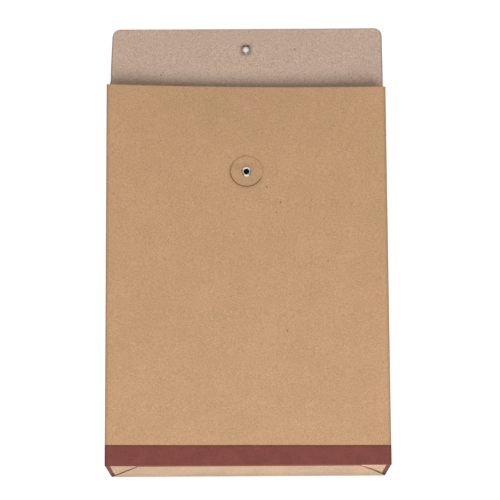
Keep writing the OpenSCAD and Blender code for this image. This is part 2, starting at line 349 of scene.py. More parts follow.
def paper(name, colour, warm, edge, mottle, speck):
    """Uncoated board: mottle, felted fibres, fine specks, a few flecks, darker cut edges and painted shade.
    """
    finish = Finish(bpy.data.materials.new(name))
    where = finish.place()
    clouds = finish.noise(where, 38, 2)
    blotch = finish.noise(where, 120)
    grain = finish.noise(where, 950, 2)
    fibre = finish.noise(finish.place((1500, 520, 1500)), 1)
    streak = finish.noise(finish.place((420, 9, 420)), 1, 2)
    # The grey of a cell's own colour picks the few flecks that are dark
    cells = {"Vector": where, "Scale": 230}
    fleck = (0.16 - finish.node("TexVoronoi", cells, feature="F1")) > 0
    chance = finish.node("TexVoronoi", cells, "Color", feature="F1")
    shade = 1 + mottle * (clouds + 0.5 * blotch + 0.4 * streak) + speck * (grain + 0.6 * fibre)
    shade = shade - 0.22 * fleck * (blotch > 0.07) - 0.5 * fleck * (chance > 0.9)
    tone = finish.mix(0.5 + 1.3 * clouds + 0.6 * blotch, colour, warm)
    # Rim values darken cut edges, and paint shade on disc rims, the front's side edges, eyelet holes and the
    # base's fold and slit
    cut = finish.attribute("rim")
    tone = finish.mix(0.85 * cut, finish.dim(tone, shade), edge)
    bump = finish.bump(0.22, 0.25 * MM, grain + 0.7 * fibre)
    finish.surface(finish.node("BsdfPrincipled", {
        "Base Color": tone, "Roughness": 0.86 + 0.12 * grain, "Normal": bump,
        "Specular IOR Level": 0.22}))


def woven_cloth(name, colour, pitch=0.42 * MM):
    """Plain woven book cloth: over and under threads, slubs and a little nap."""
    finish = Finish(bpy.data.materials.new(name))
    turns = 2 * math.pi / pitch
    where = finish.unrolled((turns, turns, 1))
    warp, weft = (
        finish.node("Math", {0: finish.node("SeparateXYZ", {0: where}, axis)}, operation="SINE")
        for axis in "XY")
    weave = warp * weft
    flat = finish.unrolled((1, 1, 1))
    long_slubs, cross_slubs = (
        finish.noise(finish.unrolled(scale), 1) for scale in ((90, 1500, 1), (1500, 90, 1)))
    slubs = long_slubs + cross_slubs
    cloud = finish.noise(flat, 70)
    nap = finish.noise(flat, 900, roughness=0.7)
    shade = 1 + 0.12 * weave + 0.45 * slubs + 0.6 * cloud + 1.1 * nap
    # Rim values paint shade on the tape's turned-down ends and under the base, and darken the front tape's
    # top edge
    shade_and_top_line = finish.attribute("rim")
    tone = finish.dim(finish.mix(0.5 * shade_and_top_line, colour, [0.2 * part for part in colour]), shade)
    bump = finish.bump(0.35, 0.12 * MM, weave + slubs)
    finish.surface(finish.node("BsdfPrincipled", {
        "Base Color": tone, "Roughness": 0.72 + 0.2 * nap, "Normal": bump,
        "Specular IOR Level": 0.25}))


def nickel_plate(name, colour):
    """Bright nickel plate with fine tumbling marks, darkened and dulled by painted shade in its creases."""
    finish = Finish(bpy.data.materials.new(name))
    marks = finish.noise(finish.place(), 1700)
    cloud = finish.noise(finish.place(), 400, 2)
    # Painted shade: rim values turn the plate near black, duller and less metallic
    metal_darkening = finish.attribute("rim")
    plate = finish.mix(0.5 + cloud, colour, [0.82 * part for part in colour])
    finish.surface(finish.node("BsdfPrincipled", {
        "Base Color": finish.mix(metal_darkening, plate, (0.035, 0.02, 0.016, 1)),
        "Roughness": 0.24 + 0.3 * marks + 0.3 * metal_darkening, "Metallic": 1.0 - 0.6 * metal_darkening}))


def finishes():
    """The envelope's materials by name, made once."""
    if "kraft board" not in bpy.data.materials:
        colours = bpy.context.scene.envelope_colours
        pale = [1.07 * part for part in colours.base]
        papers = (
            ("kraft board", colours.kraft, (1.07, 1.1), 0.1, 0.83),
            ("base paper", colours.base, (1.04, 1.06), 0.3, 0.9),
            ("tab paper", pale, (1.04, 0.97), 0.7, 1.3),
            ("grey ply", colours.lining, (1.02, 0.95), 0.1, 1.12),
        )
        for name, colour, (red, blue), mottle, speck in papers:
            warm = (colour[0] * red, colour[1], colour[2] * blue, 1)
            paper(name, (*colour, 1), warm, (*colours.raw_edge_and_shade, 1), mottle, speck)
        woven_cloth("cloth tape", (*colours.tape, 1))
        nickel_plate("nickel plate", (*colours.nickel, 1))
    return bpy.data.materials


# Mesh helpers

HOLE_R = 2.8 * MM
WINDOW = 4 * MM
WINDOW_LINES = [WINDOW * share for share in (-1.5, -1, -0.5, 0, 0.5, 1, 1.5)]
NEAR = 0.15 * MM
TINY = 0.01 * MM
WELD = 0.001 * MM
AT_SIDE = 0.999
SHARP = math.radians(40)


def smooth(share):
    """Smooth step from 0 to 1."""
    share = min(max(share, 0.0), 1.0)
    return share * share * (3 - 2 * share)


def steps(low, high, count):
    """Even steps from low to high, both ends included."""
    return [low + (high - low) * i / count for i in range(count + 1)]


def tagged(kind, values):
    """Values with the kind of row or column that they give."""
    return [(kind, value) for value in values]


def merged(*lists):
    """Values of several lists in order, without near repeats."""
    kept = []
    for value in sorted(value for values in lists for value in values):
        if not kept or value - kept[-1] > NEAR:
            kept.append(value)
    return kept


def wander(x, y, size):
    """A slow wandering between -1 and 1 over the given size."""
    return noise.noise(Vector((x / size, y / size, 0.37)))


def punch(bm, axes):
    """Cuts a round hole in place of the faces in a square window round the axes."""
    inverse = axes.inverted()

    def inside(face):
        middle = inverse @ face.calc_center_median()
        return abs(middle.x) < WINDOW and abs(middle.y) < WINDOW

    cut = {face for face in bm.faces if inside(face)}
    border = {vert for face in cut for vert in face.verts if not cut.issuperset(vert.link_faces)}
    bmesh.ops.delete(bm, geom=list(cut), context="FACES")
    rim_layer = bm.verts.layers.float["rim"]
    for vert in border:
        place = inverse @ vert.co
        out = HOLE_R / math.hypot(place.x, place.y)
        vert.co = at(axes, place.x * out, place.y * out, place.z)
        # Darker round the hole: its cut edge, with painted shade round the eyelet
        vert[rim_layer] = 1.0


def add_object(name, data):
    """A new object of the scene."""
    made = bpy.data.objects.new(name, data)
    bpy.context.scene.collection.objects.link(made)
    return made


def add_mesh(bm, name):
    """A new object of the scene from a bmesh, which is used up."""
    mesh = bpy.data.meshes.new(name)
    bm.to_mesh(mesh)
    bm.free()
    return add_object(name, mesh)


def finish_mesh(bm, name, material):
    """Turns a bmesh into a piece whose faces are smooth, except across steep edges."""
    for face in bm.faces:
        face.smooth = True
    for edge in bm.edges:
        edge.smooth = edge.calc_face_angle(0) < SHARP
    piece = add_mesh(bm, name)
    piece.data.materials.append(finishes()[material])
    return piece


def thicken(bm, name, thickness, offset):
    """Gives an open sheet its thickness, behind its face for an offset of -1."""
    flat = add_mesh(bm, name + "_flat")
    wall = flat.modifiers.new("thickness", "SOLIDIFY")
    wall.thickness = thickness
    wall.offset = offset
    wall.use_even_offset = True
    solid = bmesh.new()
    solid.from_object(flat, bpy.context.evaluated_depsgraph_get())
    # The object goes with its mesh
    bpy.data.meshes.remove(flat.data)
    return solid


def sheet(name, material, columns, rows, form, thickness, unroll=None, rim=None, holes=(),
          side="left", offset=-1.0):
    """A thin sheet: a grid whose points form(column, row) places, mirrored for the right side."""
    bm = bmesh.new()
    bmesh.ops.create_grid(bm, x_segments=len(columns) - 1, y_segments=len(rows) - 1, size=0.5)
    rim_layer = bm.verts.layers.float.new("rim")
    uv_layer = bm.loops.layers.uv.new("unrolled")
    places = {}
    for vert in bm.verts:
        column = columns[round((vert.co.x + 0.5) * (len(columns) - 1))]
        row = rows[round((vert.co.y + 0.5) * (len(rows) - 1))]
        places[vert] = (column, row)
        vert[rim_layer] = rim(column, row) if rim else 0.0
    if unroll:
        for face in bm.faces:
            for loop in face.loops:
                loop[uv_layer].uv = unroll(*places[loop.vert])
    for vert, (column, row) in places.items():
        vert.co = form(column, row)
        if side == "right":
            vert.co.x = -vert.co.x
    if side == "right":
        bmesh.ops.reverse_faces(bm, faces=bm.faces[:])
    bmesh.ops.remove_doubles(bm, verts=bm.verts[:], dist=WELD)
    bm.normal_update()
    for axes in holes:
        punch(bm, axes)
    return finish_mesh(thicken(bm, name, thickness, offset), name, material)


def lathe(name, material, profile, axes, count, shape):
    """A closed profile of (radius, height) points, spun about Z and then shaped."""
    bm = bmesh.new()
    verts = [bm.verts.new((radius, 0, height)) for radius, height in profile]
    edges = [bm.edges.new((vert, verts[i - 1])) for i, vert in enumerate(verts)]
    bmesh.ops.spin(
        bm, geom=verts + edges, cent=(0, 0, 0), axis=(0, 0, 1), angle=2 * math.pi, steps=count,
        use_merge=True)
    bmesh.ops.remove_doubles(bm, verts=bm.verts[:], dist=WELD)
    rim_layer = bm.verts.layers.float.new("rim")
    for vert in bm.verts:
        vert.co, vert[rim_layer] = shape(vert.co)
    bmesh.ops.recalc_face_normals(bm, faces=bm.faces[:])
    bmesh.ops.transform(bm, matrix=axes, verts=bm.verts[:])
    return finish_mesh(bm, name, material)


def arc(centre, radius, start, end, count):
    """Points of (radius, height) along an arc, with the angles in degrees."""
    turns = (math.radians(angle) for angle in steps(start, end, count))
    return [(centre[0] + radius * math.cos(a), centre[1] + radius * math.sin(a)) for a in turns]


def edge_columns(half, band, count):
    """Columns across a sheet, closer together along its two sides."""
    inner = steps(-half + band, half - band, count)
    side = [half - band * share for share in (0, 0.12, 0.3, 0.5, 0.75)]
    return merged(inner, side, [-value for value in side])


# Back sheet and flap

RIM_W = 0.8 * MM


def flap_half_width(q, sizes):
    """Half the flap's width at a distance along it from its eyelet."""
    half = FLAP_HALF - (q - FLAP_LOW.y) * math.tan(sizes.flap_slant)
    corner = q - (FLAP_HIGH.y - sizes.flap_corner)
    if corner > 0:
        half -= sizes.flap_corner - math.sqrt(max(sizes.flap_corner ** 2 - corner ** 2, 0.0))
    return half


def back_point(share, run, level, sizes):
    """A point of the back sheet, at a share of its half width, a run along it and a level."""
    trim = sizes.flap_trim * max(0.0, -share)
    if run > FLAP_ROOT.y:
        q = FLAP_LOW.y + run - FLAP_ROOT.y
        bow = (q - FLAP_LOW.y) / (FLAP_HIGH.y - FLAP_LOW.y)
        lean = sizes.flap_lean * bow * share ** 2
        aside = share * flap_half_width(q, sizes) + lean + trim
        return at(FLAP, aside, q, level + sizes.flap_curl * (share * bow) ** 2)
    crease_run = FLAP_ROOT.y - CREASE_LOW.y
    turn = (run - CREASE_LOW.y) / crease_run
    half = HALF_W + (FLAP_HALF - HALF_W) * smooth(turn)
    height = 0.0
    if turn > 0:
        slope = FLAP.col[1].z / FLAP.col[1].y * crease_run
        height = FLAP_ROOT.z * (3 - 2 * turn) * turn ** 2 + slope * (turn - 1) * turn ** 2
    aside = share * half + trim * smooth(2.5 * turn + 0.5)
    return Vector((aside, run, height + level))


def back_sheet_grid(sizes):
    """Columns as shares of the half width, and rows from the base to the flap's free edge."""
    root = FLAP_ROOT.y
    free_edge = root + (FLAP_HIGH.y - FLAP_LOW.y)
    eyelet = root - FLAP_LOW.y
    turns = [math.radians(angle) for angle in steps(0, 90, 9)]
    rows = merged(
        steps(BACK_LOW.y, CREASE_LOW.y, 14), steps(CREASE_LOW.y, root, 16),
        steps(root, free_edge - sizes.flap_corner, 5),
        [eyelet + line for line in WINDOW_LINES],
        [free_edge - sizes.flap_corner * (1 - math.sin(turn)) for turn in turns],
        [free_edge - RIM_W])
    columns = [value / HALF_W for value in merged(
        edge_columns(HALF_W, 5 * MM, 22), WINDOW_LINES, [RIM_W - HALF_W, HALF_W - RIM_W])]
    return columns, rows


class ENVELOPE_OT_back_sheet(bpy.types.Operator):
    """Models the two plies of the back panel, its soft crease and the flap"""

    bl_idname = "envelope.back_sheet"
    bl_label = "Back sheet and flap"

    def execute(self, context):
        sizes = context.scene.envelope_sizes
        columns, rows = back_sheet_grid(sizes)
        crease = CREASE_LOW.y

        def darker_edges(share, run):
            if run < crease:
                return 0.3 if abs(share) > AT_SIDE else 0.0
            if abs(share) > AT_SIDE or run > rows[-1] - TINY:
                return 1.0
            return 0.4 if abs(share) > 0.99 or run > rows[-2] - TINY else 0.0

        plies = (
            ("back_kraft_ply", "kraft board", "kraft", KRAFT_T, KRAFT_T,
             ("back_panel", "flap_panel", "flap_crease")),
            ("back_grey_ply", "grey ply", "grey_ply", KRAFT_T + LINING_T, LINING_T,
             ("back_lining", "flap_lining")),
        )
        for name, material, slot, level, thickness, stands_for in plies:
            piece = sheet(
                name, material, columns, rows,
                lambda share, run: back_point(share, run, level, sizes), thickness,
                rim=darker_edges, holes=[FLAP])
            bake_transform(piece, "back", "flap", start=(0, crease, 0), end=(0, FLAP_ROOT.y, 0))
            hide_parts(*stands_for)
        return {"FINISHED"}


# Front sheet

SAG_START = 8 * MM
SAG_MARGIN = 7 * MM
DROP_START = 1 * MM
DROP_FADE = 5 * MM


def front_level(x, s, sizes):
    """Height of the front panel's outer face above its fold plane."""
    turned = max(0.0, (abs(x) - HALF_W + sizes.edge_band) / sizes.edge_band)
    turned *= smooth((s - FRONT_TAPE_HIGH.y - DROP_START) / DROP_FADE)
    slack_from = FRONT_EYELET.y + SAG_START
    slack = max(0.0, (s - slack_from) / (FRONT_HIGH.y - slack_from))
    across = max(0.0, 1 - (x / (HALF_W - SAG_MARGIN)) ** 2)
    return FRONT_HIGH.z - sizes.edge_drop * turned ** 2 - sizes.mouth_sag * across * slack ** 2


def front_point(x, s, depth, sizes):
    """A point of the front panel, below its outer face, with the mouth cut a little askew."""
    skew = smooth((s - FRONT_EYELET.y) / (FRONT_HIGH.y - FRONT_EYELET.y))
    aside = x / HALF_W
    cut = sizes.mouth_skew * aside + sizes.mouth_hollow * (1 - aside ** 2)
    x -= sizes.tape_inset * aside * smooth((FRONT_TAPE_HIGH.y + 2 * MM - s) / (3 * MM))
    return at(FRONT, x, s - skew * cut, front_level(x, s, sizes) - depth)


class ENVELOPE_OT_front_sheet(bpy.types.Operator):
    """Models the two plies of the front panel, with its sagging mouth and turned-down edges"""

    bl_idname = "envelope.front_sheet"
    bl_label = "Front sheet"

    def execute(self, context):
        sizes = context.scene.envelope_sizes
        eyelet = FRONT_EYELET.y
        rows = merged(
            steps(FRONT_LOW.y, eyelet + WINDOW_LINES[0], 14),
            [eyelet + line for line in WINDOW_LINES],
            steps(eyelet + WINDOW_LINES[-1], FRONT_HIGH.y, 14), [FRONT_HIGH.y - RIM_W])
        hole_axes = FRONT @ Matrix.Translation((0, eyelet, 0))
        lining_half = HALF_W - sizes.edge_band
        plies = (
            ("front_kraft_ply", "kraft board", "kraft", HALF_W, 0.0, KRAFT_T, "front_panel"),
            ("front_grey_ply", "grey ply", "grey_ply", lining_half, KRAFT_T, LINING_T,
             "front_lining"),
        )
        for name, material, slot, half, depth, thickness, stands_for in plies:
            columns = merged(edge_columns(half, 6 * MM, 26), WINDOW_LINES)

            def darker_edges(x, s):
                # Painted shade along the side edges that turn down, and a darker band along the mouth's cut
                # edge
                side = 0.45 * smooth((abs(x) - half) / (3 * MM) + 1)
                return 0.6 if s > rows[-1] - TINY else side

            piece = sheet(
                name, material, columns, rows,
                lambda x, s: front_point(x, s, depth, sizes), thickness,
                rim=darker_edges, holes=[hole_axes])
            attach(piece, "front")
            at(FRONT, 0, 0, FRONT_HIGH.z)
            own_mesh(piece)
            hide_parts(stands_for)
        return {"FINISHED"}


# Base board and corner tabs

FOLD_START = -90
FOLD_END = math.degrees(BASE_ANGLE) - 360
SLIT_BAND = 7 * MM
SLIT_START = 6 * MM
SLIT_FADE = 11 * MM
SLIT_STRAY = 0.35 * MM


def board_rows():
    """Rows of the base board: round its fold, then up the base."""
    rows = tagged("back", [BACK_LOW.y]) + tagged("fold", steps(FOLD_START, FOLD_END, 10))
    return rows + tagged("base", steps(1 * MM, BOARD_HIGH.y, 14))


def board_point(share, row, sizes):
    """A point of the base board's outer face."""
    kind, value = row
    if kind == "back":
        return Vector((share * HALF_W, value, 0))
    if kind == "fold":
        angle = math.radians(value)
        done = (value - FOLD_START) / (FOLD_END - FOLD_START)
        radius = BASE_FOLD.z + (BOARD_HIGH.z - BASE_FOLD.z) * done
        out = Vector((share * HALF_W, radius * math.cos(angle), radius * math.sin(angle)))
        return BASE_FOLD + out
    bow = sizes.end_bow * max(0.0, share) * math.sin(math.pi * value / BASE_DEPTH)
    half = HALF_W - value + bow
    x = share * half
    near_end = smooth(1 - (half - abs(x)) / SLIT_BAND)
    lift = sizes.slit_lift * near_end * smooth(value / SLIT_START)
    lift *= smooth((SIDE_TAPE_HIGH.y - value) / SLIT_FADE)
    lift *= 0.75 + 0.5 * wander(x, value, 5 * MM)
    stray = SLIT_STRAY * wander(3 * x, value, 4 * MM) * near_end
    return at(BASE, x + stray, value, BOARD_HIGH.z + lift)


def board_shade_and_ends(share, row):
    """Raw slanted ends, darkest at their middle as painted slit shadow, and painted shade round the fold."""
    kind, value = row
    if kind != "base":
        return 0.3
    if abs(share) > AT_SIDE:
        middle = 1 - abs(value / BASE_DEPTH - 0.45) * 2
        return 0.25 + 0.35 * smooth(2 * middle)
    return 0.2 * smooth(1 - value / (14 * MM))


class ENVELOPE_OT_base_board(bpy.types.Operator):
    """Models the base board with its fold, and the folded corner tabs under its ends"""

    bl_idname = "envelope.base_board"
    bl_label = "Base board"

    def execute(self, context):
        sizes = context.scene.envelope_sizes
        columns = [value / HALF_W for value in edge_columns(HALF_W, 10 * MM, 24)]
        board = sheet(
            "base_board", "base paper", columns, board_rows(),
            lambda share, row: board_point(share, row, sizes), BOARD_T, rim=board_shade_and_ends)
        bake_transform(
            board, "back", "base", start=(0, BACK_LOW.y, 0.2 * MM),
            end=at(BASE, 0, 1.5 * MM, BOARD_HIGH.z))
        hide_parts("base_panel", "base_back_fold")
        lap = TAB_HIGH.x + HALF_W - TAB_HIGH.y
        tab_rows = steps(TAB_LOW.y, TAB_HIGH.y, 12)
        for side in SIDES:
            tab = sheet(
                f"{side}_corner_fold", "tab paper", steps(0, 1, 8), tab_rows,
                lambda share, v: at(BASE, -HALF_W + share * (v + lap), v, TAB_HIGH.z),
                TAB_HIGH.z - TAB_LOW.z, side=side)
            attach(tab, "base")
            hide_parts(f"{side}_corner_tab")
        coats = NODES["base_glue_flap"].data.materials
        coats.clear()
        coats.append(finishes()["kraft board"])
        return {"FINISHED"}


# Gussets

HEM_SHORT = 3.3 * MM
FOLD_INSET = 0.6 * MM
FOLD_BULGE = 1.1 * MM
FOLD_REACH = 0.9 * MM
STRIP_GAP = 3.2 * MM
BAND_GAP = 3.8 * MM
REAR_END_SLOPE = 0.66
TOP_BAND = 0.1 * MM

# A gusset half on the left: the panel it hangs on, its own axes and the panel's, its hinge in
# the panel's axes, which way it leans, and how much is cut off its hem at the mouth
Half = namedtuple("Half", "name panel axes panel_axes hinge turn short")
HALVES = (
    Half("rear", "back", REAR_HALF, Matrix.Identity(4), REAR_HINGE, 1, 0.0),
    Half("front", "front", FRONT_HALF, FRONT, FRONT_HINGE, -1, HEM_SHORT),
)


def rear_end(u, gap):
    """Where a rear half ends, at a distance from its hinge."""
    return BASE_FOLD.y + gap + REAR_END_SLOPE * u


def gusset_strip(side, half, hem_w, hem_level):
    """A gusset half with its glue hem: one strip of kraft folded along the panel's side."""
    node = f"left_{half.name}_gusset"
    low, high = span(node, half.axes)
    points = points_of(node, half.axes)
    wide = max(points, key=lambda point: point.x)
    upper = max(point.x for point in points if point.y > high.y - TOP_BAND)
    middle = (high.z + low.z) / 2
    hinge = Vector((half.hinge.x, half.hinge.z))
    lean = Vector((math.cos(GUSSET_LEAN), half.turn * math.sin(GUSSET_LEAN)))
    normal = Vector((-lean.y, lean.x))
    fold_from = Vector((hinge.x + FOLD_INSET, hem_level))
    fold_by = Vector((hinge.x - FOLD_BULGE, hem_level + half.turn * 0.1 * MM))
    fold_to = hinge + FOLD_REACH * lean + middle * normal
    columns = tagged("hem", steps(1, 0, 3))
    columns += tagged("fold", steps(0, 1, 7)[1:]) + tagged("half", steps(0, 1, 5)[1:])

    def lower_edge(u):
        return rear_end(u, STRIP_GAP) if half.name == "rear" else low.y

    def form(column, y):
        kind, share = column
        cut = half.short * (1 - 0.5 * share if kind == "half" else 1.0)
        y -= cut * smooth((y - high.y) / (12 * MM) + 1)
        if kind == "hem":
            return at(half.panel_axes, fold_from.x + share * hem_w, y, fold_from.y)
        if kind == "fold":
            first = fold_from.lerp(fold_by, share)
            second = fold_by.lerp(fold_to, share)
            bend = first.lerp(second, share)
            return at(half.panel_axes, bend.x, y, bend.y)
        width = wide.x + (upper - wide.x) * max(0.0, (y - wide.y) / (high.y - wide.y))
        u = FOLD_REACH + share * (width - FOLD_REACH)
        place = hinge + u * lean + middle * normal
        return at(half.panel_axes, place.x, max(y, lower_edge(u)), place.y)

    return sheet(
        f"{side}_{half.name}_gusset_strip", "kraft board", columns,
        steps(lower_edge(0.0), high.y, 26), form, high.z - low.z, side=side, offset=0.0)


class ENVELOPE_OT_gussets(bpy.types.Operator):
    """Models the folded side gussets, each half with its glue hem"""

    bl_idname = "envelope.gussets"
    bl_label = "Gussets"

    def execute(self, context):
        for side in SIDES:
            for half in HALVES:
                hem_low, hem_high = span(f"left_{half.name}_hem", half.panel_axes)
                hem_level = (hem_low.z + hem_high.z) / 2
                strip = gusset_strip(side, half, hem_high.x - hem_low.x, hem_level)
                turned = half.hinge.z + half.turn * 0.8 * MM
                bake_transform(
                    strip, half.panel, f"{side}_{half.name}",
                    start=at(half.panel_axes, 0, 0, hem_level),
                    end=at(half.panel_axes, 0, 0, turned))
                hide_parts(f"{side}_{half.name}_hem", f"{side}_{half.name}_gusset")
        return {"FINISHED"}


# Cloth tape

TAPE_LOW = SIDE_TAPE_HIGH.y + 0.9 * MM
TAPE_EDGE = 0.9 * MM
TAPE_ROUND = 1.2 * MM
TAPE_ENDS = [HALF_W + depth * MM for depth in (0.2, 0.4, 0.8, 1.5, 2.4)]
SIDE_LAPS = [SIDE_TAPE_HIGH.y + lap * MM for lap in (0.5, 1, 1.6)]
BAND_COLUMNS = (0, 0.07, 0.13, 0.2, 0.4, 0.6, 0.8, 1)

# Corners of the folded web on the left, in millimetres inwards, along Y and up from a fold's end
WEB_START = (1.5, 0, 0)
WEB_CREASE = (11.6, 21.4, 12.05)
WEB_FRONT = (2.9, 1.9, -2.2)
WEB_FAN = 16 * MM

# The tucked-in corner of a gusset, by distances from the gusset's hinge
TUCK_START = 13 * MM
TUCK_REACH = 15.2 * MM
TUCK_KNEE = 25.6 * MM
TUCK_TIP = 29.15 * MM


def tape_rows():
    """Rows of the front tape: up the base's edge, round the fold and up the front."""
    rows = tagged("base", steps(TAPE_LOW, BASE_DEPTH, 5)) + tagged("fold", steps(0, 1, 8)[1:-1])
    return rows + tagged("front", merged(steps(0, TAPE_TOP, 9), [TAPE_TOP - TAPE_EDGE]))


def tape_point(x, row, sizes):
    """A point of the front tape's outer face, which turns down over the panel's sides."""
    kind, value = row
    over = max(0.0, abs(x) - HALF_W)
    reach = min(abs(x), HALF_W)
    reach -= sizes.tape_inset * reach / HALF_W
    x = math.copysign(reach + 0.6 * min(over, 0.4 * MM), x)
    if kind == "front":
        upper = smooth(value / FRONT_TAPE_HIGH.y)
        stray = 0.4 * sizes.tape_stray * wander(x, 1, 22 * MM) - sizes.tape_slant * x / HALF_W
        s = value + stray * upper
        return at(FRONT, x, s, front_level(x, s, sizes) + TAPE_T - over)
    if kind == "base":
        lower = smooth((SIDE_TAPE_HIGH.y + 2 * MM - value) / (2 * MM))
        v = value + sizes.tape_stray * lower * wander(x, 5, 16 * MM)
        past_board = (abs(x) - HALF_W + value - 0.6 * MM) / (3 * MM)
        drop = BOARD_T * smooth(past_board) * smooth((BASE_DEPTH - value) / (2 * MM))
        return at(BASE, x, v, BOARD_HIGH.z + TAPE_T - max(drop, over))
    end = math.atan2(FRONT.col[2].z, FRONT.col[2].y)
    angle = BASE_ANGLE + (end - BASE_ANGLE) * value
    radius = BOARD_HIGH.z + (FRONT_HIGH.z - BOARD_HIGH.z) * value + TAPE_T
    radius = max(radius - over, 0.1 * MM)
    return FRONT_FOLD + Vector((x, radius * math.cos(angle), radius * math.sin(angle)))


def tape_run(row):
    """Distance along the tape from the base's front edge up the front panel."""
    kind, value = row
    if kind == "base":
        return value - BASE_DEPTH
    return value + TAPE_ROUND if kind == "front" else value * TAPE_ROUND


def left_end(fold, inward, along, up):
    """A place given in millimetres from the left end of a fold line."""
    return fold + Vector((inward * MM - HALF_W, along * MM, up * MM))


def corner_web_point(share, reach):
    """A point of the folded web that closes the left corner between the base and a gusset."""
    crease = left_end(BASE_FOLD, *WEB_CREASE)
    front = left_end(FRONT_FOLD, *WEB_FRONT)
    return left_end(BASE_FOLD, *WEB_START).lerp(crease.lerp(front, share), reach)


def corner_tuck_point(share, reach):
    """A point of the left gusset's tucked corner, which closes the side of a square base."""
    u = TUCK_START + TUCK_REACH * reach
    low = 3.9 * MM + 0.115 * (TUCK_KNEE - u) - 0.6 * max(0.0, u - TUCK_KNEE)
    high = 1.6 * MM + 0.64 * (TUCK_TIP - u) + 1.8 * MM * smooth((u - 17 * MM) / (3 * MM))
    return at(FRONT_HALF, u, low + (high - low) * share, 0.5 * MM)


def side_tape_point(column, v):
    """A point of the tape under the base's left side, rolled over its edge."""
    kind, share = column
    inner = min(SIDE_TAPE_HIGH.x + HALF_W, 1.1 * MM + 0.75 * (v - SIDE_TAPE_LOW.y))
    lapped = smooth((v - SIDE_TAPE_HIGH.y - 0.3 * MM) / (0.7 * MM))
    level = SIDE_TAPE_HIGH.z - 1.1 * TAPE_T * lapped
    if kind == "flat":
        inward = inner * (1 - share)
        over_board = smooth((inward - v + 1.2 * MM) / (1.2 * MM))
        level += (BOARD_T + 0.1 * MM) * over_board
        return at(BASE, inward - HALF_W, v, level)
    depth = (1.2 + 2.0 * v / BASE_DEPTH) * MM
    bulge = 0.15 * MM * math.sin(math.pi / 2 * min(1.0, 2 * share)) * (1 - lapped)
    return at(BASE, -HALF_W - bulge, v, level - depth * share ** 1.5)


def side_tape_shade(column, v):
    """Painted shade on the side tape: most near the table and where it rolls over."""
    return 2.2 * smooth(1 - v / (12 * MM)) + (0.75 if column[0] == "flat" else 1.05)


class ENVELOPE_OT_cloth_tape(bpy.types.Operator):
    """Models the woven tape: over the front edge, under the sides and round the corners"""

    bl_idname = "envelope.cloth_tape"
    bl_label = "Cloth tape"

    def execute(self, context):
        sizes = context.scene.envelope_sizes
        rows = tape_rows()
        columns = merged(
            edge_columns(HALF_W, sizes.edge_band, 60), TAPE_ENDS, [-end for end in TAPE_ENDS])

        def end_shade_and_top_line(x, row):
            # Painted shade where the tape turns down at its ends, and a darker line along its top edge
            by_side = 1.2 * smooth((abs(x) - HALF_W + 2.4 * MM) / (2.4 * MM))
            return max(by_side, {rows[-1]: 0.7, rows[-2]: 0.45}.get(row, 0.0))

        tape = sheet(
            "front_edge_tape", "cloth tape", columns, rows,
            lambda x, row: tape_point(x, row, sizes), TAPE_T,
            unroll=lambda x, row: (x, tape_run(row)), rim=end_shade_and_top_line)
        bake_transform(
            tape, "base", "front", start=at(BASE, 0, BASE_DEPTH - 1.8 * MM, 1.2 * MM),
            end=at(FRONT, 0, 1.5 * MM, 1.1 * MM))
        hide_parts("front_tape", "base_front_tape")
        for side in SIDES:
            self.corner(side)
            for half in HALVES:
                self.gusset_band(side, half)
        return {"FINISHED"}

    @staticmethod
    def corner(side):
        """Tape under a side of the base, and the folded web and tuck inside that corner."""
        columns = tagged("roll", steps(1, 0, 6)[:-1]) + tagged("flat", steps(1, 0, 4))
        rows = steps(SIDE_TAPE_LOW.y, SIDE_TAPE_HIGH.y, 14) + SIDE_LAPS
        under = sheet(
            f"{side}_base_edge_tape", "cloth tape", columns, rows, side_tape_point, TAPE_T,
            side=side, rim=side_tape_shade, unroll=lambda column, v: (v, column[1] * 4 * MM))
        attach(under, "base")
        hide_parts(f"base_{side}_tape")
        web = sheet(
            f"{side}_corner_web", "cloth tape", steps(0, 1, 16), steps(0, 1, 10),
            corner_web_point, TAPE_T, side=side, offset=0.0,
            unroll=lambda share, reach: (share * 20 * MM, reach * 24 * MM))
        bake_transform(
            web, "back", "base", start=BASE_FOLD + Vector((0, WEB_FAN, 2 * MM)),
            end=BASE_FOLD + WEB_FAN * BASE_RUN)
        tuck = sheet(
            f"{side}_corner_tuck", "cloth tape", steps(0, 1, 6), steps(0, 1, 12),
            corner_tuck_point, TAPE_T, side=side, offset=0.0,
            unroll=lambda share, reach: (share * 6 * MM, reach * 15 * MM))
        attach(tuck, f"{side}_front")

    @staticmethod
    def gusset_band(side, half):
        """Tape on the lower end of a gusset half, pressed flat by its fold."""
        low, high = span(f"left_{half.name}_tape", half.axes)
        level = high.z if half.turn > 0 else low.z

        def form(share, reach):
            u = (0.6 + 14.4 * share) * MM
            pressed = half.turn * 0.17 * MM * smooth((3.4 * MM - u) / (1.4 * MM))
            start = rear_end(u, BAND_GAP) if half.name == "rear" else low.y
            return at(half.axes, u, start + (high.y - start) * reach, level - pressed)

        band = sheet(
            f"{side}_{half.name}_gusset_tape", "cloth tape", BAND_COLUMNS[::half.turn],
            steps(0, 1, 8), form, TAPE_T * 0.8, side=side,
            unroll=lambda share, reach: (share * 15 * MM, reach * 17 * MM))
        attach(band, f"{side}_{half.name}")
        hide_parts(f"{side}_{half.name}_tape")


# Eyelets and discs

DISC_BORE = 2.86 * MM
DISC_EASE = 0.3 * MM
DISC_PRESS = 0.88
DISC_RINGS = (0.2, 0.45, 0.7, 0.86, 0.91, 0.93)
DISC_UNDER_RINGS = (0.88, 0.7, 0.45, 0.2)
DISC_RIM = 0.94


